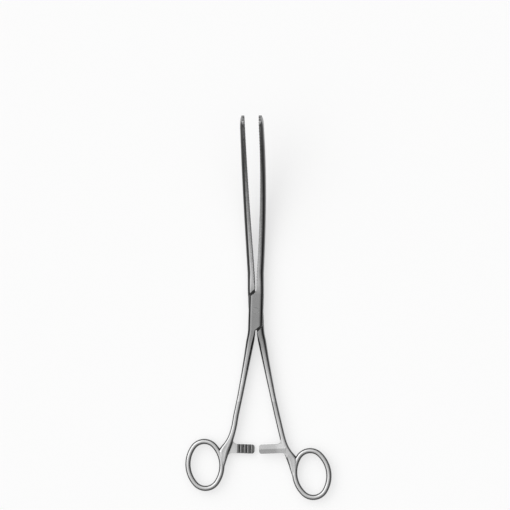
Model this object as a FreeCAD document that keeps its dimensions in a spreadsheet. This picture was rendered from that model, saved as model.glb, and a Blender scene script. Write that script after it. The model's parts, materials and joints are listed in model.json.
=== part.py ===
"""Curved box-lock intestinal clamp, lying flat with its jaws curving upwards.

Axes: +Y runs towards the jaw tips, +Z is up and along the pin, X is the way the jaws open.
The origin is on the underside of the box, below the middle of the pin.
Each half is drawn with the jaws closed, and its placement opens it to the pose at rest.
"""
import FreeCAD, Part
import math
import os
import re
import Sketcher

V = FreeCAD.Vector

# Driving sizes, in millimetres and degrees
SIZES = {
    "box_width": 9.6,
    "box_thickness": 9.0,
    "box_end": 12.6,
    "cheek_flat": 4.8,
    "side_flat": 3.8,
    "shoulder_angle": 40,
    "shoulder_gap": 1.4,
    "slot_end": 11.2,
    "slot_rise": 2.3,
    "slot_end_gap": 0.15,
    "tongue_thickness": 2.8,
    "lock_clearance": 0.04,
    "pin_diameter": 4.0,
    "pin_clearance": 0.03,
    "opening_at_rest": 4.2,
    "face_gap": 0.1,
    "jaw_straight": 25,
    "curve_radius": 142,
    "curve_angle": 45.7,
    "jaw_root_thickness": 4.4,
    "jaw_tip_thickness": 2.9,
    "jaw_tip_width": 8.5,
    "jaw_side_flat": 1.5,
    "jaw_bow": 1.0,
    "serration_start": 14.8,
    "serration_pitch": 1.95,
    "serration_width": 1.25,
    "serration_depth": 0.45,
    "serration_root_slant": 27,
    "serration_tip_slant": 9,
    "shank_waist_width": 3.7,
    "shank_waist_thickness": 5.0,
    "ring_hole_width": 18.9,
    "ring_hole_length": 27.5,
    "ring_band": 3.6,
    "left_ring_out": 30.7,
    "left_ring_back": 103.1,
    "left_ring_lean": 5,
    "right_ring_out": 32.3,
    "right_ring_back": 109.4,
    "right_ring_lean": 6,
    "ratchet_back": 91.6,
    "ratchet_width": 6.0,
    "ratchet_thickness": 2.5,
    "ratchet_past_middle": 1.8,
    "ratchet_root": 16.0,
    "ratchet_ridge": 0.4,
    "ratchet_clearance": 0.1,
    "ratchet_fillet": 3.0,
    "tooth_pitch": 2.35,
    "tooth_depth": 1.1,
    "tooth_count": 5,
}

doc = FreeCAD.newDocument("intestinal_clamp")
sheet = doc.addObject("Spreadsheet::Sheet", "sizes")
for row, (alias, size) in enumerate(SIZES.items(), start=1):
    sheet.set(f"A{row}", alias)
    sheet.set(f"B{row}", str(size))
    sheet.setAlias(f"B{row}", alias)
doc.recompute()


def bound(formula):
    """The formula with every size in it pointed at its cell of the sheet."""
    def cell(word):
        return "sizes." + word.group() if word.group() in SIZES else word.group()
    return re.sub(r"[a-z_]+", cell, str(formula))


def number(formula):
    """The present value of a formula."""
    return float(sheet.evalExpression(bound(formula)))


def place_sketch(body, name, role, shift=("0", "0", "0"), turn=None):
    """A sketch on one of the body's own planes, shifted by formulas and turned about one of its axes."""
    plane = [feature for feature in body.Origin.OriginFeatures if feature.Role == role][0]
    sketch = body.newObject("Sketcher::SketchObject", name)
    sketch.AttachmentSupport = [(plane, "")]
    sketch.MapMode = "FlatFace"
    axis, angle = turn or (V(0, 0, 1), "0")
    sketch.AttachmentOffset = FreeCAD.Placement(V(0, 0, 0), FreeCAD.Rotation(axis, 1))
    for letter, formula in zip("xyz", shift):
        sketch.setExpression(f"AttachmentOffset.Base.{letter}", bound(formula))
    sketch.setExpression("AttachmentOffset.Rotation.Angle", bound(angle))
    return sketch


def pin_point(sketch, geometry, position, x, y):
    """Hold one point of the sketch at the place that two formulas give."""
    for kind, formula in (("DistanceX", x), ("DistanceY", y)):
        index = sketch.addConstraint(Sketcher.Constraint(kind, geometry, position, number(formula)))
        sketch.setExpression(f"Constraints[{index}]", bound(formula))


def outline(sketch, route):
    """Close an outline of corners (x, y); an entry ("via", x, y) bows the edge there into an arc."""
    corners = [point for point in route if point[0] != "via"]
    vias = {}
    count = 0
    for point in route:
        if point[0] == "via":
            vias[count - 1] = point[1:]
        else:
            count += 1
    spots = [V(number(x), number(y), 0) for x, y in corners]
    ends = []
    for i in range(count):
        start, stop = spots[i], spots[(i + 1) % count]
        if i not in vias:
            edge = sketch.addGeometry(Part.LineSegment(start, stop))
            ends.append((edge, 1, 2))
            continue
        middle = V(number(vias[i][0]), number(vias[i][1]), 0)
        forward = (middle - start).cross(stop - middle).z > 0
        first, last = (start, stop) if forward else (stop, start)
        edge = sketch.addGeometry(Part.Arc(first, middle, last))
        ends.append((edge, 1, 2) if forward else (edge, 2, 1))
        mark = sketch.addGeometry(Part.Point(middle), True)
        sketch.addConstraint(Sketcher.Constraint("PointOnObject", mark, 1, edge))
        pin_point(sketch, mark, 1, *vias[i])
    for i in range(count):
        edge, _, finish = ends[i]
        follower, begin, _ = ends[(i + 1) % count]
        sketch.addConstraint(Sketcher.Constraint("Coincident", edge, finish, follower, begin))
        pin_point(sketch, edge, ends[i][1], *corners[i])


def circle(sketch, radius):
    """A circle about the sketch's origin."""
    ring = sketch.addGeometry(Part.Circle(V(0, 0, 0), V(0, 0, 1), number(radius)))
    sketch.addConstraint(Sketcher.Constraint("Coincident", ring, 3, -1, 1))
    index = sketch.addConstraint(Sketcher.Constraint("Radius", ring, number(radius)))
    sketch.setExpression(f"Constraints[{index}]", bound(radius))


ROUND_END = 0.8     # radius of an oval's end, as a share of its half width


def oval(sketch, half_width, half_length):
    """An oval of four tangent arcs: round ends joined by flatter sides."""
    end = f"({ROUND_END}*{half_width})"
    side = f"(({half_width}^2+({half_length}-{end})^2-{end}^2)/(2*({half_width}-{end})))"
    x = f"({end}*({side}-{half_width})/({side}-{end}))"
    y = f"(({half_length}-{end})*{side}/({side}-{end}))"
    outline(sketch, [
        (x, y), ("via", "0", half_length), (f"-{x}", y), ("via", f"-{half_width}", "0"),
        (f"-{x}", f"-{y}"), ("via", "0", f"-{half_length}"), (x, f"-{y}"), ("via", half_width, "0"),
    ])


def pad(body, name, sketch, length, middle=False):
    """Material over the sketch, up from it or half to each side."""
    feature = body.newObject("PartDesign::Pad", name)
    feature.Profile = sketch
    feature.Midplane = middle
    feature.setExpression("Length", bound(length))
    return feature


def cut_both_ways(body, name, sketch):
    """A pocket through the whole body on both sides of its sketch."""
    feature = body.newObject("PartDesign::Pocket", name)
    feature.Profile = sketch
    feature.Type = "ThroughAll"
    feature.Midplane = True
    return feature


def pocket(body, name, sketch, length, upwards):
    """A pocket of a given depth, above or below its sketch."""
    feature = body.newObject("PartDesign::Pocket", name)
    feature.Profile = sketch
    feature.Reversed = upwards
    feature.setExpression("Length", bound(length))
    return feature


def loft(body, name, sketches, straight=False):
    """A body drawn over the sections, in straight runs from one to the next if asked."""
    feature = body.newObject("PartDesign::AdditiveLoft", name)
    feature.Profile = sketches[0]
    feature.Sections = sketches[1:]
    feature.Ruled = straight
    return feature


MIDDLE = "box_thickness/2"
BEND = math.sqrt(0.5)      # how far a rounding reaches towards its corner at its middle


def finger_ring(body, side, out, back, lean):
    """The oval finger ring: a round bar bent along four tangent arcs."""
    path = place_sketch(
        body, "ring_path", "XY_Plane", (f"{side}*{out}", f"-{back}", MIDDLE), (V(0, 0, 1), lean))
    oval(path, "((ring_hole_width+ring_band)/2)", "((ring_hole_length+ring_band)/2)")
    reach = "((ring_hole_width+ring_band)/2)"
    profile = place_sketch(
        body, "ring_section", "XZ_Plane",
        (f"{side}*{out}+{reach}*cos({lean})", MIDDLE, f"{back}-{reach}*sin({lean})"),
        (V(0, 1, 0), lean))
    circle(profile, "ring_band/2")
    ring = body.newObject("PartDesign::AdditivePipe", "ring")
    ring.Profile = profile
    ring.Spine = path


def bar_section(body, name, side, y, inner, outer, thick, soft_in, soft_out, soft_up):
    """Level section across a shank: a bar with its four corners rounded off."""
    sketch = place_sketch(body, name, "XZ_Plane", ("0", MIDDLE, f"-({y})"))
    half, rise = f"({thick}/2)", f"({thick}/2*{soft_up})"
    near, far = (f"({soft}*(({outer})-({inner})))" for soft in (soft_in, soft_out))
    step = 1 - BEND
    route = []
    for up in ("1", "-1"):
        inward = [
            (f"{side}*({inner})", f"{up}*({half}-{rise})"),
            ("via", f"{side}*({inner}+{step}*{near})", f"{up}*({half}-{step}*{rise})"),
            (f"{side}*({inner}+{near})", f"{up}*{half}"),
        ]
        outward = [
            (f"{side}*({outer}-{far})", f"{up}*{half}"),
            ("via", f"{side}*({outer}-{step}*{far})", f"{up}*({half}-{step}*{rise})"),
            (f"{side}*({outer})", f"{up}*({half}-{rise})"),
        ]
        run = inward + outward
        route += run if up == "1" else run[::-1]
    outline(sketch, route)
    return sketch


def shank(body, side, out, back):
    """The shank, from the box down to the inner side of its ring, where it spreads into a web."""
    half_box = "box_width/2"
    waist = "shank_waist_width"
    thick = "shank_waist_thickness"
    root = (half_box, "box_thickness", "0.06", "((box_width-cheek_flat)/(box_width-face_gap))",
            "(1-side_flat/box_thickness)")
    round_bar = ("0.4", "0.4", "0.72")
    # y, inner and outer edge, thickness, then the rounding as shares: of the width at the inner
    # and at the outer corners, and of the half thickness
    stations = [
        ("-8", "face_gap/2", *root),
        ("-13", "face_gap/2", *root),
        ("-16", "0.2", f"0.2+1.32*{waist}", "0.97*box_thickness", "0.12", "0.47", "0.59"),
        ("-20", "0.6", f"0.6+1.4*{waist}", "0.9*box_thickness", "0.22", "0.43", "0.62"),
        ("-24.5", "1.3", f"1.3+1.35*{waist}", "0.83*box_thickness", "0.3", "0.42", "0.66"),
        ("-31", "2.4", f"2.4+1.25*{waist}", f"1.38*{thick}", "0.36", "0.4", "0.7"),
        ("-42", "4.3", f"4.3+1.13*{waist}", f"1.18*{thick}", *round_bar),
        ("-57", "6.95", f"6.95+{waist}", f"1.03*{thick}", *round_bar),
        ("-70", "9.3", f"9.3+{waist}", thick, *round_bar),
        (f"27-{back}", f"{out}-20.6", f"{out}-20.6+{waist}", thick, *round_bar),
    ]
    # the web down the ring: (height over the ring's middle, inner edge, outer edge, thickness)
    for above, inner, outer, bulk in (
            (23.5, 19.95, 16.1, 1.39), (20.5, 19.25, 15.2, 1.38), (18, 18.6, 14.1, 1.35),
            (15.5, 17.95, 12.6, 1.28), (13.2, 17.25, 10.8, 1.2), (11, 16.5, 9.3, 1.13),
            (9, 15.8, 8.7, 1.08), (6, 14.9, 9.2, 1.03), (3, 14.1, 10.2, 0.98), (-4, 12.1, 10.2, 0.7)):
        stations.append((
            f"{above}-{back}", f"{out}-{inner}", f"{out}-{outer}", f"{bulk}*ring_band", *round_bar))
    sections = [
        bar_section(body, f"shank_section_{i}", side, *station)
        for i, station in enumerate(stations, start=1)
    ]
    loft(body, "shank", sections, straight=True)


def box_block(body):
    """The block that both halves take their share of: flat cheeks, well rounded long edges."""
    sketch = place_sketch(body, "block_section", "XZ_Plane", ("0", MIDDLE, "0"))
    wide, flat = "box_width/2", "cheek_flat/2"
    high, low = "box_thickness/2", "side_flat/2"
    bend_x = f"({flat}+{BEND}*({wide}-{flat}))"
    bend_z = f"({low}+{BEND}*({high}-{low}))"
    outline(sketch, [
        (flat, high), ("via", bend_x, bend_z), (wide, low),
        (wide, f"-{low}"), ("via", bend_x, f"-{bend_z}"), (flat, f"-{high}"),
        (f"-{flat}", f"-{high}"), ("via", f"-{bend_x}", f"-{bend_z}"), (f"-({wide})", f"-{low}"),
        (f"-({wide})", low), ("via", f"-{bend_x}", bend_z), (f"-({flat})", high),
    ])
    pad(body, "block", sketch, "2*(box_end+0.2)", middle=True)


def jaw_section(body, name, side, along, rise, tilt, bow, thick, width, strip, back):
    """Section across a jaw: flat gripping face, narrow flat sides and a rounded back."""
    sketch = place_sketch(body, name, "XZ_Plane", ("0", rise, f"-({along})"), (V(1, 0, 0), tilt))
    face = f"(face_gap/2+{bow})"
    half = f"({width}/2)"
    bend_x = f"({face}+{strip}+{BEND}*({thick}-{strip}))"
    bend_z = f"({back}+{BEND}*({half}-{back}))"
    route = [
        (f"{side}*{face}", half),
        (f"{side}*{face}", f"-{half}"),
        (f"{side}*({face}+{strip})", f"-{half}"),
        ("via", f"{side}*{bend_x}", f"-{bend_z}"),
        (f"{side}*({face}+{thick})", f"-{back}"),
        (f"{side}*({face}+{thick})", f"{back}"),
        ("via", f"{side}*{bend_x}", f"{bend_z}"),
        (f"{side}*({face}+{strip})", half),
    ]
    outline(sketch, route)
    return sketch


CURVE_STEPS = 16    # sections along the curved part of a jaw
# the last step again, for the rounded tip: (share of the step, share of the full thickness)
TIP_STEPS = ((0.25, 0.97), (0.6, 0.84), (0.85, 0.66), (1, 0.42))
CLEAR = "8"         # how far a trimming outline goes past what it trims


def jaw(body, side):
    """The jaw: straight past the box, then curved upwards, thinner and narrower to its round tip."""
    root = ("box_width/2-face_gap/2", "box_thickness", "cheek_flat/2-face_gap/2", "(side_flat/2)")
    sections = [
        jaw_section(body, f"jaw_root_{y}", side, y, MIDDLE, "0", "0", *root)
        for y in ("9", "14")
    ]
    shares = [(i / CURVE_STEPS, 1) for i in range(CURVE_STEPS)]
    last = 1 - 1 / CURVE_STEPS
    shares += [(last + part / CURVE_STEPS * 0.9 + 0.1 / CURVE_STEPS, full) for part, full in TIP_STEPS]
    for i, (share, full) in enumerate(shares):
        angle = f"(curve_angle*{share})"
        sections.append(jaw_section(
            body, f"jaw_section_{i}", side,
            f"jaw_straight+curve_radius*sin({angle})",
            f"{MIDDLE}+curve_radius*(1-cos({angle}))",
            angle,
            f"(jaw_bow*sin({180 * share}))",
            f"({full}*(jaw_root_thickness+(jaw_tip_thickness-jaw_root_thickness)*{share}))",
            f"(box_thickness+(jaw_tip_width-box_thickness)*{share})",
            f"({full}*jaw_side_flat*{1 - 0.45 * share})",
            f"({1 - 0.4 * share})",
        ))
    loft(body, "jaw", sections, straight=True)
    round_tip(body)


def round_tip(body):
    """Trim the end of the jaw to a half circle across its width."""
    radius = "(jaw_tip_width/2-0.02)"
    angle = f"(curve_angle-{radius}/curve_radius*180/pi)"
    sketch = place_sketch(
        body, "tip_plan", "YZ_Plane",
        (f"jaw_straight+curve_radius*sin({angle})", f"{MIDDLE}+curve_radius*(1-cos({angle}))", "0"),
        (V(0, 0, 1), angle))
    outline(sketch, [
        ("0", radius), ("via", radius, "0"), ("0", f"-{radius}"), ("0", f"-{CLEAR}"),
        (CLEAR, f"-{CLEAR}"), (CLEAR, CLEAR), ("0", CLEAR),
    ])
    cut_both_ways(body, "tip_trim", sketch)


REACH = "30"        # past the end of the box block, for the cuts that free the other half
SIDE = "12"         # past its sides
SLOPE = "tan(shoulder_angle)"


def cheek_line(x):
    """Height of the sloping cheek end of the box half at x."""
    return f"(box_end+{SLOPE}*({x}))"


def shoulder_line(x):
    """Height of the shoulder that faces the cheek end, on the tongue half."""
    return f"(box_end+shoulder_gap/cos(shoulder_angle)+{SLOPE}*({x}))"


def slot_line(x):
    """Height of the slot's upper end wall at x."""
    return f"(slot_end+slot_rise*(1-({x})/(box_width/2)))"


def plan_outline(body, name, turned, corners, level="0"):
    """A plan sketch; turned -1 gives the same outline half a turn about the pin."""
    sketch = place_sketch(body, name, "XY_Plane", ("0", "0", level))
    outline(sketch, [(f"{turned}*({x})", f"{turned}*({y})") for x, y in corners])
    return sketch


def free_the_other_half(body, near, line):
    """Clear the two corners of the box where the other half's jaw and shank are."""
    far = f"-({near})/abs({near})*{SIDE}"
    for turned, place in (("1", "jaw"), ("-1", "shank")):
        sketch = plan_outline(body, f"{place}_side_plan", turned, [
            (near, line(near)), (far, line(far)), (far, REACH), (near, REACH)])
        cut_both_ways(body, f"{place}_side_cut", sketch)


def slot(body):
    """The slot that the tongue passes through, between two cheeks."""
    tall = "(tongue_thickness+2*lock_clearance)"
    edge = "(box_width/2+0.5)"
    sketch = plan_outline(body, "slot_plan", "1", [
        (f"-{SIDE}", slot_line(f"-{SIDE}")), (edge, slot_line(edge)), (SIDE, slot_line(edge)),
        (SIDE, f"-{slot_line(f'-{SIDE}')}"), (f"-{edge}", f"-{slot_line(edge)}"),
        (f"-{SIDE}", f"-{slot_line(edge)}"),
    ], f"{MIDDLE}-{tall}/2")
    pocket(body, "slot", sketch, tall, upwards=True)


def tongue(body):
    """Thin the middle of the tongue half, above and below, to what the slot takes."""
    corners = [
        (f"-{SIDE}", shoulder_line(f"-{SIDE}")), (SIDE, shoulder_line(SIDE)),
        (SIDE, f"-{shoulder_line(f'-{SIDE}')}"), (f"-{SIDE}", f"-{shoulder_line(SIDE)}"),
    ]
    for sign, place in (("+", "upper"), ("-", "lower")):
        sketch = plan_outline(
            body, f"{place}_relief_plan", "1", corners, f"{MIDDLE}{sign}tongue_thickness/2")
        pocket(body, f"{place}_relief", sketch, "box_thickness", upwards=sign == "+")


def pin_bore(body, radius):
    """The bore that the rivet goes through."""
    sketch = place_sketch(body, "bore_plan", "XY_Plane")
    circle(sketch, radius)
    cut_both_ways(body, "bore", sketch)


def ratchet_arm(body, side, level):
    """The ratchet arm that reaches inwards from the shank, with saw teeth on the side of its partner.

    side is the shank's side of the middle, level is 1 for the arm that passes above and -1 below.
    """
    half = "(ratchet_width/2)"
    face = f"({level}*ratchet_clearance)"
    eave = f"({level}*(ratchet_clearance+ratchet_thickness-ratchet_ridge))"
    crest = f"({level}*(ratchet_clearance+ratchet_thickness))"
    begin = "-ratchet_root" if side == "-1" else "-ratchet_past_middle"
    profile = place_sketch(body, "arm_section", "YZ_Plane", ("-ratchet_back", MIDDLE, begin))
    outline(profile, [(f"-{half}", face), (half, face), (half, eave), ("0", crest), (f"-{half}", eave)])
    pad(body, "arm", profile, "ratchet_root+ratchet_past_middle")
    arm_fillets(body, side, level)
    arm_end(body, side)
    arm_teeth(body, side, level)


def arm_fillets(body, side, level):
    """The web that rounds the arm into the shank above and below it."""
    deep = "(ratchet_thickness-ratchet_ridge)"
    low = f"{MIDDLE}+ratchet_clearance" if level == "1" else f"{MIDDLE}-ratchet_clearance-{deep}"
    sketch = place_sketch(body, "arm_fillet_plan", "XY_Plane", ("0", "-ratchet_back", low))
    half, bend = "(ratchet_width/2)", "(0.293*ratchet_fillet)"      # 0.293 is 1 - BEND
    # the shank leans outwards as it comes down, so the web starts nearer the middle above
    upper, lower, sunk = "(ratchet_root-3.2)", "(ratchet_root-0.1)", "1.8"
    corners = [
        (f"{upper}-ratchet_fillet", half), ("via", f"{upper}-{bend}", f"{half}+{bend}"),
        (upper, f"{half}+ratchet_fillet"), (f"{upper}+{sunk}", f"{half}+ratchet_fillet"),
        (f"{lower}+{sunk}", f"-({half}+ratchet_fillet)"), (lower, f"-({half}+ratchet_fillet)"),
        ("via", f"{lower}-{bend}", f"-({half}+{bend})"), (f"{lower}-ratchet_fillet", f"-{half}"),
    ]
    outline(sketch, [(*point[:-2], f"{side}*({point[-2]})", point[-1]) for point in corners])
    pad(body, "arm_fillet", sketch, deep)


def arm_end(body, side):
    """Round the free end of the arm in plan."""
    sketch = place_sketch(
        body, "arm_end_plan", "XY_Plane", (f"-({side})*ratchet_past_middle", "-ratchet_back", "0"))
    half, bend, bow = "(ratchet_width/2)", "1.6", "0.47"
    corners = [
        (bend, half), ("via", bow, f"{half}-{bow}"), ("0", f"{half}-{bend}"),
        ("0", f"-({half}-{bend})"), ("via", bow, f"-({half}-{bow})"), (bend, f"-{half}"),
        (bend, f"-{CLEAR}"), (f"-{CLEAR}", f"-{CLEAR}"), (f"-{CLEAR}", CLEAR), (bend, CLEAR),
    ]
    outline(sketch, [(*point[:-2], f"{side}*({point[-2]})", point[-1]) for point in corners])
    cut_both_ways(body, "arm_end", sketch)


def arm_teeth(body, side, level):
    """Saw teeth: a slope up from the free end, a small land, and a steep drop that holds."""
    sketch = place_sketch(body, "tooth_plan", "XZ_Plane", ("0", MIDDLE, "ratchet_back"))
    root, land = "-ratchet_past_middle", "0.86*tooth_pitch-ratchet_past_middle"
    face = f"{level}*ratchet_clearance"
    clear = f"{level}*(ratchet_clearance-1)"
    valley = f"{level}*(ratchet_clearance+tooth_depth)"
    outline(sketch, [
        (f"{side}*({root})", clear), (f"{side}*({root})", valley),
        (f"{side}*({land})", face), (f"{side}*({land})", clear),
    ])
    tooth = body.newObject("PartDesign::Pocket", "tooth")
    tooth.Profile = sketch
    tooth.Midplane = True
    tooth.setExpression("Length", bound("ratchet_width+2"))
    doc.recompute()
    teeth = body.newObject("PartDesign::LinearPattern", "teeth")
    teeth.Originals = [tooth]
    axis = [feature for feature in body.Origin.OriginFeatures if feature.Role == "X_Axis"][0]
    teeth.Direction = (axis, [""])
    teeth.Reversed = side == "-1"
    teeth.setExpression("Length", bound("(tooth_count-1)*tooth_pitch"))
    teeth.setExpression("Occurrences", bound("tooth_count"))
    body.Tip = teeth


def serration_cutters(name, side, shift):
    """V-shaped cutters for the slanting grooves of one jaw, following its curve and its bow."""
    middle, radius = number(MIDDLE), number("curve_radius")
    straight, curve = number("jaw_straight"), number("curve_angle")
    first, step = number("serration_start"), number("serration_pitch")
    deep, wide = number("serration_depth"), number("serration_width")
    tip = straight + radius * math.sin(math.radians(curve))
    cutters = []
    for i in range(int((tip - first) / step)):
        along = first + (i + 0.5 + shift) * step
        beta = math.degrees(math.asin(max(0, along - straight) / radius))
        rise = middle + radius * (1 - math.cos(math.radians(beta)))
        bow = number("jaw_bow") * math.sin(math.pi * beta / curve)
        share = (along - first) / (tip - first)
        slant = number("serration_root_slant") * (1 - share) + number("serration_tip_slant") * share
        line = V(0, -math.sin(math.radians(slant)), -math.cos(math.radians(slant)))
        across = V(1, 0, 0).cross(line)
        spot = V(side * (number("face_gap") / 2 + bow), along, rise)
        out, into = V(-side * deep, 0, 0), V(side * deep, 0, 0)
        corners = [spot + into, spot + across * wide + out, spot - across * wide + out]
        reach = number("box_thickness")
        face = Part.Face(Part.makePolygon([corner - line * reach for corner in corners + corners[:1]]))
        cutters.append(face.extrude(line * 2 * reach))
    feature = doc.addObject("Part::Feature", name)
    feature.Shape = Part.makeCompound(cutters)
    return feature


def finish_half(body, label, side, shift):
    """Cut the serrations and turn the half from its closed place to the pose at rest."""
    cutters = serration_cutters(f"{label}_serrations", side, shift)
    half = doc.addObject("Part::Cut", label)
    half.Base = body
    half.Tool = cutters
    half.Refine = False
    half.Label = label
    half.Placement = FreeCAD.Placement(V(0, 0, 0), FreeCAD.Rotation(V(0, 0, 1), 1))
    half.setExpression("Placement.Rotation.Angle", bound(f"-({side})*opening_at_rest/2"))
    return half


def box_half():
    """Right jaw, box with its slot, left shank, ring and lower ratchet arm, forged in one piece."""
    body = doc.addObject("PartDesign::Body", "box_half_forging")
    finger_ring(body, "-1", "left_ring_out", "left_ring_back", "left_ring_lean")
    shank(body, "-1", "left_ring_out", "left_ring_back")
    box_block(body)
    free_the_other_half(body, "face_gap/2", cheek_line)
    jaw(body, "1")
    slot(body)
    pin_bore(body, "pin_diameter/2")
    ratchet_arm(body, "-1", "-1")
    return finish_half(body, "box_half", 1, 0)


def tongue_line(x):
    """Height of the tongue's edge, a little short of the slot's end wall."""
    return f"({slot_line(x)}-slot_end_gap)"


def tongue_half():
    """Left jaw, tongue through the slot, right shank, ring and upper ratchet arm, in one piece."""
    body = doc.addObject("PartDesign::Body", "tongue_half_forging")
    finger_ring(body, "1", "right_ring_out", "right_ring_back", "right_ring_lean")
    shank(body, "1", "right_ring_out", "right_ring_back")
    box_block(body)
    free_the_other_half(body, "-face_gap/2", tongue_line)
    jaw(body, "-1")
    tongue(body)
    pin_bore(body, "pin_diameter/2+pin_clearance")
    ratchet_arm(body, "1", "1")
    return finish_half(body, "tongue_half", -1, 0.5)


def pivot_pin():
    """The rivet that the halves turn on, polished flush with both cheeks."""
    body = doc.addObject("PartDesign::Body", "pivot_pin")
    body.Label = "pivot_pin"
    sketch = place_sketch(body, "pin_plan", "XY_Plane")
    circle(sketch, "pin_diameter/2")
    pad(body, "pin", sketch, "box_thickness")
    return body


nodes = [box_half(), tongue_half(), pivot_pin()]
doc.recompute()
for part in doc.Objects:
    if "Invalid" in part.State or "Error" in part.State:
        raise RuntimeError(f"{part.Name} did not build")
os.makedirs("parts", exist_ok=True)
for node in nodes:
    shape = node.Shape
    if shape.isNull() or not shape.isValid():
        raise RuntimeError(f"{node.Label} is not a valid solid")
    shape.exportStep(f"parts/{node.Label}.step")
    box = shape.BoundBox
    print(f"{node.Label}: {len(shape.Solids)} solid, {shape.Volume:.0f} mm3, {len(shape.Faces)} faces, "
          f"x {box.XMin:.1f} to {box.XMax:.1f}, y {box.YMin:.1f} to {box.YMax:.1f}, "
          f"z {box.ZMin:.1f} to {box.ZMax:.1f}")
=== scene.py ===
# %% [markdown]
# # A curved intestinal clamp in satin steel
#
# The object is a scissor-shaped surgical clamp, 253 mm long, lying on a pale table. It is forged
# from stainless steel in two halves that cross in a box lock: one half has a slot, the other passes
# through it as a tongue, and a flush rivet holds them together. The jaws curve up towards the viewer
# and are cut with slanting grooves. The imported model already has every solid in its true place, so
# this script only has to give the steel its finish and to light and photograph it.

# %% The frame
import json
import math

import bpy
from mathutils import Matrix, Vector


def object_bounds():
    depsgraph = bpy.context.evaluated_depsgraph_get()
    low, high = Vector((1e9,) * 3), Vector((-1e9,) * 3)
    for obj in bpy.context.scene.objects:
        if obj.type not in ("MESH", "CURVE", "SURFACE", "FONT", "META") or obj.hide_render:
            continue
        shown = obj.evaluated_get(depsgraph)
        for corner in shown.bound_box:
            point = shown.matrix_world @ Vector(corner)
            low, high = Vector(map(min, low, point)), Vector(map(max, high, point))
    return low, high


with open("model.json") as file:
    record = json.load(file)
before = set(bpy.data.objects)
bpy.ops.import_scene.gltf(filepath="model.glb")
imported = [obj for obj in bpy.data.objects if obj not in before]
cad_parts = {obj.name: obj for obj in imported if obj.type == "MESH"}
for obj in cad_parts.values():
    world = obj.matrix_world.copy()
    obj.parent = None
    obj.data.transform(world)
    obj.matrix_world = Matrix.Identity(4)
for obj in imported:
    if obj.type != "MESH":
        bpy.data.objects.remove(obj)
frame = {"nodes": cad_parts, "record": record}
MM = 0.001
cad_low, cad_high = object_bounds()

# %% [markdown]
# ## The camera
#
# The clamp is looked at from above, with the jaws at the top of the picture and the rings at its
# bottom. The eye stands a little to the right of the box, so it sees into the gap between the jaws
# and onto the grooved face of the left one. A long lens keeps the raised tips from growing, and a
# small roll gives the slight lean of the instrument. The camera's own three directions are worked
# out first, and together they are its turn, which is plainer than three angles one after another.

# %% Place the camera
FIELD = 337.4 * MM          # what the picture spans at the height of the box
LENS, SENSOR = 250.0, 36.0
SIDE_STEP = math.radians(3)
ROLL = math.radians(0.34)
SEES_TO = 100.0             # metres, beyond the far corner of the table
aim = Vector((-0.44, 36.87, 4.5)) * MM

back = Vector((math.sin(SIDE_STEP), 0, math.cos(SIDE_STEP)))
jawwards = Vector((0, 1, 0))
level = jawwards.cross(back)
right = math.cos(ROLL) * level - math.sin(ROLL) * jawwards
up = back.cross(right)

camera_data = bpy.data.cameras.new("camera")
camera_data.lens = LENS
camera_data.sensor_width = SENSOR
camera_data.clip_end = SEES_TO
camera = bpy.data.objects.new("camera", camera_data)
bpy.context.scene.collection.objects.link(camera)
distance = FIELD * LENS / SENSOR
turn = Matrix((right, up, back)).transposed()
camera.matrix_world = Matrix.Translation(aim + back * distance) @ turn.to_4x4()
bpy.context.scene.camera = camera
print("camera", round(distance, 2), "m away")

# %% [markdown]
# ## Node helpers
#
# Every finish below is a small tree of shader nodes. One helper makes a node and sets its inputs: a
# plain number or colour is written on the socket, and the output of another node is linked to it.
# The others are what the finishes need most: a sum, a product of several things, one coordinate of
# a vector, its length, how far two directions agree, and one range of numbers turned into another.


# %% Helpers for shader nodes
def node(tree, kind, inputs=None, **settings):
    """Make a shader node, set its properties, then fill its inputs with values or links."""
    made = tree.nodes.new(kind)
    for key, value in settings.items():
        setattr(made, key, value)
    for key, value in (inputs or {}).items():
        if isinstance(value, bpy.types.NodeSocket):
            tree.links.new(value, made.inputs[key])
        else:
            made.inputs[key].default_value = value
    return made


def maths(tree, operation, first, second=0.0):
    """The result of one operation on two numbers or sockets."""
    made = node(tree, "ShaderNodeMath", {0: first, 1: second}, operation=operation)
    return made.outputs["Value"]


def product(tree, first, *others):
    """Several numbers or sockets multiplied together."""
    for other in others:
        first = maths(tree, "MULTIPLY", first, other)
    return first


def axis(tree, vector, letter):
    """One coordinate of a vector: X, Y or Z."""
    return node(tree, "ShaderNodeSeparateXYZ", {"Vector": vector}).outputs[letter]


def agreement(tree, first, second):
    """1 where two directions are the same, 0 where they stand at a right angle."""
    made = node(tree, "ShaderNodeVectorMath", {0: first, 1: second}, operation="DOT_PRODUCT")
    return made.outputs["Value"]


def length(tree, vector):
    """The length of a vector."""
    made = node(tree, "ShaderNodeVectorMath", {0: vector}, operation="LENGTH")
    return made.outputs["Value"]


def ranged(tree, value, before, after):
    """The value, with the range before stretched to the range after and held inside it."""
    made = node(tree, "ShaderNodeMapRange", {
        "Value": value, "From Min": before[0], "From Max": before[1],
        "To Min": after[0], "To Max": after[1]})
    return made.outputs["Result"]


# %% [markdown]
# ## The table
#
# A plain table of opal glass carries the clamp and catches its shadow. It is lit from below, which
# keeps the shadow pale. It is made very large so that low views end on it too, and it lies a hair
# under the box so that the two surfaces don't flicker.

# %% The table
TABLE_REACH = 30.0
HAIR = 0.02 * MM
GLASS_GREY, GLASS_GLOW = 0.4, 0.62
GLASS_ROUGHNESS, GLASS_SHINE = 0.8, 0.2
corners = [(x * TABLE_REACH, y * TABLE_REACH, 0) for x, y in ((-1, -1), (1, -1), (1, 1), (-1, 1))]
table_data = bpy.data.meshes.new("table")
table_data.from_pydata(corners, [], [(0, 1, 2, 3)])
table = bpy.data.objects.new("table", table_data)
bpy.context.scene.collection.objects.link(table)
table.location.z = cad_low.z - HAIR

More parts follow.
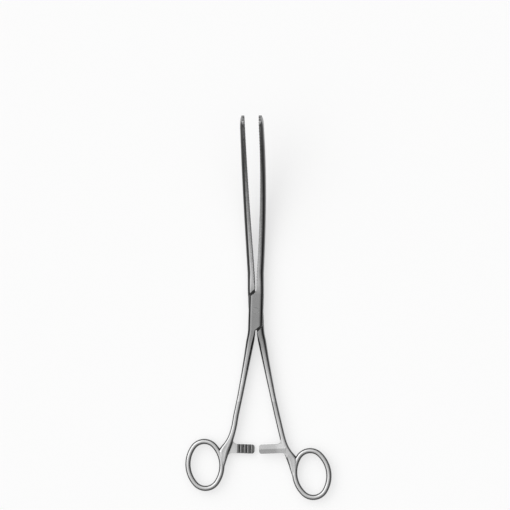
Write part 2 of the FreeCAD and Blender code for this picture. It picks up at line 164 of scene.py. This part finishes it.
opal_glass = bpy.data.materials.new("opal_glass")
opal_glass.use_nodes = True
glass_shader = opal_glass.node_tree.nodes["Principled BSDF"]
glass_shader.inputs["Base Color"].default_value = (GLASS_GREY, GLASS_GREY, GLASS_GREY, 1)
glass_shader.inputs["Emission Color"].default_value = (1, 1, 1, 1)
glass_shader.inputs["Emission Strength"].default_value = GLASS_GLOW
glass_shader.inputs["Roughness"].default_value = GLASS_ROUGHNESS
glass_shader.inputs["Specular IOR Level"].default_value = GLASS_SHINE
table_data.materials.append(opal_glass)
print("table at", round(table.location.z / MM, 2), "mm")

# %% [markdown]
# ## The tent
#
# Steel shows its surroundings more than its own colour, so the light decides how it looks. A soft
# tent surrounds the table. It is brightest at the upper left and dim at the lower right, where a
# grey cloth hangs before it, so that each bar is light on one side and dark on the other. The tent
# ends a little above the table, and roundings carry a dark line there before they turn down. It
# could be built of lit sheets, but their edges would show in a low view. The world's own brightness
# has no edges, because it depends on the direction alone.

# %% The sky as a tent
LIGHT_FROM = Vector((-0.66, 0.48, 0.58)).normalized()
TENT_EDGE = (math.sin(math.radians(12)), math.sin(math.radians(38)))
UNDER_TENT = 0.03           # what is left of the brightness below the tent's edge
BRIGHT_PART = (0.54, 0.9)   # how far a direction agrees with LIGHT_FROM
BRIGHTNESS = (0.95, 1.7)
CLOTH_PART = (0.0, 0.5)     # the same measure, from the cloth to its edge
THROUGH_CLOTH = (0.35, 1)   # the share of the light that it lets by
world = bpy.data.worlds.new("studio")
world.use_nodes = True
bpy.context.scene.world = world
sky = world.node_tree
direction = node(sky, "ShaderNodeTexCoord").outputs["Generated"]
towards_light = agreement(sky, direction, LIGHT_FROM)
glow = product(
    sky,
    ranged(sky, towards_light, BRIGHT_PART, BRIGHTNESS),
    ranged(sky, towards_light, CLOTH_PART, THROUGH_CLOTH),
    ranged(sky, axis(sky, direction, "Z"), TENT_EDGE, (UNDER_TENT, 1)))
background = sky.nodes["Background"]
background.inputs["Color"].default_value = (1, 1, 1, 1)
sky.links.new(glow, background.inputs["Strength"])
print("light from", [round(part, 2) for part in LIGHT_FROM])

# %% [markdown]
# ## The lamp
#
# A tent casts hardly any shadow, and a thing without one seems to float. One wide, weak lamp behind
# the tent's bright side adds a pale and soft shadow. A sun lamp is enough, because its angle alone
# sets how soft the shadow is.

# %% The lamp behind the tent
LAMP_WIDTH = math.radians(50)
LAMP_STRENGTH = 0.4
lamp_data = bpy.data.lights.new("soft_lamp", "SUN")
lamp_data.angle = LAMP_WIDTH
lamp_data.energy = LAMP_STRENGTH
lamp = bpy.data.objects.new("soft_lamp", lamp_data)
lamp.rotation_mode = "QUATERNION"
lamp.rotation_quaternion = LIGHT_FROM.to_track_quat("Z", "Y")
bpy.context.scene.collection.objects.link(lamp)
print("lamp", round(math.degrees(math.asin(LIGHT_FROM.z))), "degrees above the table")

# %% [markdown]
# ## The lines of the brush
#
# The halves are ground and then brushed, so the steel carries fine lines. They run along the jaws
# and shanks, and round the finger rings. A noise that is stretched along one axis makes such lines.
# For the rings the same noise is fed with distance from the ring's middle instead, so that it turns
# into hoops. The ring's middle comes from the record, where each ring is a mount.

# %% Brushed lines, straight and round
LINE_SCALE = 5000.0         # noise cells to the metre
LINE_STRETCH = 0.02         # lines are 50 times as long as they are wide
NOISE_ROUGHNESS = 0.6
RING_REACH, RING_FADE = 19 * MM, 2 * MM
ring_middles = [Vector(mount["pos_m"]) for mount in frame["record"]["mounts"]
                if mount["name"].endswith("finger_ring")]
print("ring middles", [[round(size / MM, 1) for size in middle] for middle in ring_middles])


def noise(tree, vector, scale, detail=4.0):
    """A random field that changes softly from place to place, around 0.5."""
    made = node(tree, "ShaderNodeTexNoise", {
        "Vector": vector, "Scale": scale, "Detail": detail,
        "Roughness": NOISE_ROUGHNESS})
    return made.outputs["Fac"]


def stretched(tree, place, stretch, turned=0.0):
    """The place squeezed along Y, so that patterns grow long that way, and then turned about Z."""
    made = node(tree, "ShaderNodeMapping", {
        "Vector": place, "Rotation": (0, 0, turned), "Scale": (1, stretch, 1)})
    return made.outputs["Vector"]


def brush_lines(tree, place):
    """Fine lines along the halves that turn to hoops on the rings."""
    lines = noise(tree, stretched(tree, place, LINE_STRETCH), LINE_SCALE)
    height = axis(tree, place, "Z")
    for middle in ring_middles:
        away = node(tree, "ShaderNodeVectorMath", {0: place, 1: middle}, operation="SUBTRACT")
        radius = length(tree, away.outputs["Vector"])
        hoops = node(tree, "ShaderNodeCombineXYZ", {"X": radius, "Z": height}).outputs["Vector"]
        on_ring = ranged(tree, radius, (RING_REACH, RING_REACH - RING_FADE), (0, 1))
        both = node(tree, "ShaderNodeMix", {
            "Factor": on_ring, "A": lines, "B": noise(tree, hoops, LINE_SCALE)}, data_type="FLOAT")
        lines = both.outputs["Result"]
    return lines


# %% [markdown]
# ## Scratches
#
# Trays and washers leave a few short scratches. Each set is a noise that is stretched along the
# clamp, and only its highest crests are kept, which are thin and far apart. On a real clamp they
# would also cross the brushing. Here all of them run along it, because the place is squeezed before
# it is turned: the turn picks another part of the noise and doesn't change its direction.

# %% Sparse scratches
SCRATCH_TURNS = [math.radians(angle) for angle in (24, 77, -48)]
SCRATCH_SCALE = 1500.0
SCRATCH_STRETCH = 0.05
SCRATCH_CRESTS = (0.72, 0.76)
print(len(SCRATCH_TURNS), "sets of scratches, all along the clamp")


def scratches(tree, place):
    """Three sets of thin marks along the clamp: 1 in a scratch and 0 elsewhere."""
    marks = 0.0
    for turned in SCRATCH_TURNS:
        long_way = stretched(tree, place, SCRATCH_STRETCH, turned)
        field = noise(tree, long_way, SCRATCH_SCALE, detail=1.0)
        marks = maths(tree, "MAXIMUM", ranged(tree, field, SCRATCH_CRESTS, (0, 1)), marks)
    return marks


# %% [markdown]
# ## Matt sides darkened by painted shade
#
# The belt only reaches what faces up or down, so the flanks keep the rougher matt skin of the
# blasting before it. Their colour is darkened as well, and that darkening is painted shade: it gives
# each bar dark outlines where its flanks turn away from the light. On the thin shanks and rings it
# wraps further round than on the heavy box and jaws. How far a surface faces sideways is read from
# its normal. Upright sides get less of the painted shade, so that the steel doesn't turn black in a
# view from the side. On the curved part of the jaws the flat edge itself climbs and looks back at the
# rings, so there a backward lean doesn't count. A forward one counts most at the tips, which the belt
# doesn't go round, so the tips are matt and painted dark.

# %% How far a surface faces sideways
CURVE_FROM, CURVE_TO = 10 * MM, 20 * MM
SHANKS_FROM, SHANKS_TO = -14 * MM, -45 * MM
TIP_FROM, TIP_TO = 118 * MM, 123 * MM
TIP_WEIGHT = 3              # how much more a forward lean counts at the tip
BOX_WEIGHT = 1.45           # and any lean on the box and jaws
# The mask of the flanks rises over this lean: there the steel turns rougher, and its colour darker as
# painted shade.
MATT_AND_SHADE_FROM = (0.5, 0.68)     # the sine of the lean over which the belt stops, on the shanks
UPRIGHT_FROM = (0.82, 0.97)
# On upright sides the mask falls back to this share, so they get less painted shade.
UPRIGHT_MATT_AND_SHADE = 0.4
print("matt from a lean of", round(math.degrees(math.asin(MATT_AND_SHADE_FROM[0]))), "degrees on the shanks and",
      round(math.degrees(math.asin(MATT_AND_SHADE_FROM[0] / BOX_WEIGHT))), "on the box")


def sideways(tree, place, normal):
    """0 on faces that look up or down, 1 on the slopes of the flanks, less on upright sides."""
    along = axis(tree, place, "Y")
    lean = axis(tree, normal, "Y")
    forwards = product(tree, lean, ranged(tree, along, (TIP_FROM, TIP_TO), (1, TIP_WEIGHT)))
    below_jaws = product(tree, lean, ranged(tree, along, (CURVE_FROM, CURVE_TO), (1, 0)))
    tilt = length(tree, node(tree, "ShaderNodeCombineXYZ", {
        "X": axis(tree, normal, "X"),
        "Y": maths(tree, "MAXIMUM", forwards, below_jaws)}).outputs["Vector"])
    weight = ranged(tree, along, (SHANKS_TO, SHANKS_FROM), (1.0, BOX_WEIGHT))
    slope = ranged(tree, product(tree, tilt, weight), MATT_AND_SHADE_FROM, (0, 1))
    return product(tree, slope, ranged(tree, tilt, UPRIGHT_FROM, (1, UPRIGHT_MATT_AND_SHADE)))


# %% [markdown]
# ## Cheeks and handles
#
# The cheeks of the box are ground flat together with the rivet and stay a shade darker than the
# handles, which the buffing wheel can reach. The change is gradual towards the handles and quicker
# at the jaws, where the wheel's edge stopped. Jaws and ratchet arms only get part of the buffing:
# a bright jaw would dazzle in the wound, and the wheel would round the teeth. The arms are found by
# their place, far back and near the middle. The inner edges of the shanks before them lie in the
# same strip, and are dulled with them.

# %% How far the buffing reached
JAWS_FROM, JAWS_BUFFED = 11 * MM, 18 * MM
JAWS_SHARE = 0.5            # of the handles' buffing
ARMS_FROM, ARMS_TO = 15 * MM, 12 * MM
ARMS_SHARE = 0.6
ARMS_BEHIND = -60 * MM      # the strip starts here, and the arms themselves at -88.6 mm
print("buffed shares: box 0, jaws", JAWS_SHARE, "arms", ARMS_SHARE, "handles 1")


def buffed(tree, place):
    """0 on the box, 1 on shanks and rings, and in between on the jaws and about the ratchet arms."""
    along = axis(tree, place, "Y")
    jaws = ranged(tree, along, (JAWS_FROM, JAWS_BUFFED), (0, JAWS_SHARE))
    handles = ranged(tree, along, (SHANKS_TO, SHANKS_FROM), (1, 0))
    off_middle = maths(tree, "ABSOLUTE", axis(tree, place, "X"))
    behind = maths(tree, "LESS_THAN", along, ARMS_BEHIND)
    arms = product(tree, ranged(tree, off_middle, (ARMS_FROM, ARMS_TO), (0, 1)), behind)
    handles = product(tree, handles, ranged(tree, arms, (0, 1), (1, ARMS_SHARE)))
    return maths(tree, "MAXIMUM", jaws, handles)


# %% [markdown]
# ## The gripping faces
#
# The grooved faces are planed and never polished, and they hold the bowel by their roughness as much
# as by their grooves. They are the faces that look at the other jaw: one looks to the right and one
# to the left, so the side is given to the function. Anything nearer the rings than the jaws' start
# is left out.

# %% Where the gripping face is
GRIP_FROM, GRIP_FADE = 13 * MM, 0.5 * MM
GRIP_LOOKS = (0.6, 0.75)    # the sideways part of the normal
print("gripping faces from", round(GRIP_FROM / MM), "mm before the pin")


def gripping(tree, place, normal, side):
    """1 on the grooved face that looks to the given side, 0 elsewhere."""
    looking = product(tree, axis(tree, normal, "X"), side)
    past_box = ranged(tree, axis(tree, place, "Y"), (GRIP_FROM, GRIP_FROM + GRIP_FADE), (0, 1))
    return product(tree, ranged(tree, looking, GRIP_LOOKS, (0, 1)), past_box)


# %% [markdown]
# ## Worn edges and painted highlights
#
# Edges are rounded by a hair in the shading, which needs no more mesh. Where that rounding turns the
# normal away from the face's own there is an edge, and its colour is made brighter: partly wear that
# use has rubbed bright, partly a painted highlight along the edge. In deep corners the edge is out of
# reach, and the share of open air over a point finds them. The tips are made of many small facets,
# which would show as white specks if they counted as edges, so the brightening ends there.

# %% Edges rubbed bright, with painted highlights
EDGE = 0.25 * MM
BEND_SEEN = (0.99, 0.9)     # agreement of the rounded normal with the face's own
TIP_FADE = 4 * MM           # over this length before the tips the wear fades out
# How much the edges are brightened, by wear and a painted highlight.
RUBBED, WEAR_AND_HIGHLIGHT = (0.4, 0.9), (1.0, 1.7)
print("edges rounded by", round(EDGE / MM, 2), "mm")


def worn_and_highlit_edges(tree, place, softened, open_air):
    """How many times brighter the steel is, from 1 on faces to 1.7 on the sharpest open edges: wear
    and painted highlight.
    """
    true_normal = node(tree, "ShaderNodeNewGeometry").outputs["Normal"]
    bending = ranged(tree, agreement(tree, softened, true_normal), BEND_SEEN, (0, 1))
    before_tip = ranged(tree, axis(tree, place, "Y"), (TIP_FROM - TIP_FADE, TIP_FROM), (1, 0))
    return ranged(tree, product(tree, bending, before_tip, open_air), RUBBED, WEAR_AND_HIGHLIGHT)


# %% [markdown]
# ## Satin steel
#
# All of it comes together in one metal shader. The lines are shallow, so they go into the roughness
# and the bump and hardly into the colour. A slow noise adds the cloudy patches that the hand leaves
# between two strokes of the belt. Deep corners, such as the gap at the end of the cheeks, are
# darkened by painted shade, which grows where little open air lies over a point. The flanks get
# painted shade too, and the edges are brightened by wear and a painted highlight. The colour is a
# grey, multiplied by one factor for each of these, so that each can be changed without the others.

# %% Build the steel finishes
NOISE_PART = (0.3, 0.7)     # the noise values between which a shade or a gloss runs
CLOUD_SCALE, CLOUDS = 90.0, (0.93, 1.05)
BOX_TO_HANDLES = (0.72, 1.5)
# Painted shade: the colour of the flanks is multiplied by this, which gives the bars dark outlines.
PAINTED_FLANK_SHADE = 0.16
GRIP_SHADE = 0.6
CORNER_REACH = 4 * MM
# Painted shade in deep corners: where little open air lies over a point, the colour is darkened down
# to this.
CORNER_OPEN, PAINTED_CORNER_SHADE = (0.3, 0.8), (0.05, 1.0)
LINE_SHADES = (0.94, 1.04)
LINE_GLOSS = (-0.06, 0.08)  # what the lines add to the roughness
EXTRA_ROUGH = {"matt_shaded_flank": 0.12, "grip": 0.15, "scratch": 0.15}
BUMP_STRENGTH, BUMP_DEPTH = 0.25, 0.02 * MM
EDGE_SAMPLES, AIR_SAMPLES = 6, 8


def steel_shade(tree, place, lines, matt_shaded_flank, rough_face, softened):
    """The steel's grey as a share of its plain one, from painted shade in corners and on flanks to
    edges brightened by wear and painted highlight.
    """
    over = node(tree, "ShaderNodeAmbientOcclusion", {"Distance": CORNER_REACH}, samples=AIR_SAMPLES)
    open_air = over.outputs["AO"]
    return product(
        tree,
        ranged(tree, noise(tree, place, CLOUD_SCALE, detail=3.0), NOISE_PART, CLOUDS),
        # Edges brightened by wear and a painted highlight.
        worn_and_highlit_edges(tree, place, softened, open_air),
        ranged(tree, buffed(tree, place), (0, 1), BOX_TO_HANDLES),
        # Painted shade on the flanks.
        ranged(tree, matt_shaded_flank, (0, 1), (1.0, PAINTED_FLANK_SHADE)),
        # Painted shade in deep corners.
        ranged(tree, open_air, CORNER_OPEN, PAINTED_CORNER_SHADE),
        ranged(tree, rough_face, (0, 1), (1.0, GRIP_SHADE)),
        ranged(tree, lines, NOISE_PART, LINE_SHADES))


def satin_steel(name, grey, roughness, grip_side=0.0):
    """Brushed stainless steel with matt flanks and, on the given side, a planed gripping face."""
    steel = bpy.data.materials.new(name)
    steel.use_nodes = True
    tree = steel.node_tree
    shader = tree.nodes["Principled BSDF"]
    shader.inputs["Metallic"].default_value = 1.0
    spot = node(tree, "ShaderNodeTexCoord")
    place, normal = spot.outputs["Object"], spot.outputs["Normal"]
    lines = brush_lines(tree, place)
    marks = scratches(tree, place)
    # This mask makes the flanks rougher and, as painted shade, darker.
    matt_shaded_flank = sideways(tree, place, normal)
    rough_face = gripping(tree, place, normal, grip_side)
    bevel = node(tree, "ShaderNodeBevel", {"Radius": EDGE}, samples=EDGE_SAMPLES)
    softened = bevel.outputs["Normal"]

    shade = product(tree, steel_shade(tree, place, lines, matt_shaded_flank, rough_face, softened), grey)
    colour = node(tree, "ShaderNodeCombineColor", {"Red": shade, "Green": shade, "Blue": shade})
    tree.links.new(colour.outputs["Color"], shader.inputs["Base Color"])

    gloss = ranged(tree, lines, NOISE_PART, (roughness + LINE_GLOSS[0], roughness + LINE_GLOSS[1]))
    for part, kind in ((matt_shaded_flank, "matt_shaded_flank"), (rough_face, "grip"), (marks, "scratch")):
        gloss = maths(tree, "ADD", gloss, product(tree, part, EXTRA_ROUGH[kind]))
    tree.links.new(gloss, shader.inputs["Roughness"])

    bump = node(tree, "ShaderNodeBump", {
        "Height": maths(tree, "SUBTRACT", lines, marks),
        "Strength": BUMP_STRENGTH, "Distance": BUMP_DEPTH, "Normal": softened})
    tree.links.new(bump.outputs["Normal"], shader.inputs["Normal"])
    print(name, "made of", len(tree.nodes), "nodes")
    return steel


# %% [markdown]
# ## The three pieces
#
# The slotted half has the right jaw, whose gripping face looks left, and the tongue half has the left
# jaw. The rivet is ground flush with the cheeks after it is set, so it has almost the same finish.
# The finish follows place and normal, and each half therefore needs only one material.

# %% Give each piece its finish
GREY = 0.36
RIVET_GREY = 1.04 * GREY
SATIN, GROUND = 0.24, 0.2   # roughness of the halves and of the rivet's ends
LOOKS_LEFT, LOOKS_RIGHT = -1.0, 1.0
finishes = {
    "box_half": satin_steel("box_half_steel", GREY, SATIN, grip_side=LOOKS_LEFT),
    "tongue_half": satin_steel("tongue_half_steel", GREY, SATIN, grip_side=LOOKS_RIGHT),
    "pivot_pin": satin_steel("rivet_steel", RIVET_GREY, GROUND),
}
for name, steel in finishes.items():
    solid = frame["nodes"][name]
    solid.data.materials.clear()
    solid.data.materials.append(steel)
    print(name, "has", steel.name, "on", len(solid.data.polygons), "faces")

# %% [markdown]
# ## The picture's settings
#
# The colours are shown as they are, with no filmic curve.

# %% The colour settings
bpy.context.scene.view_settings.view_transform = "Standard"
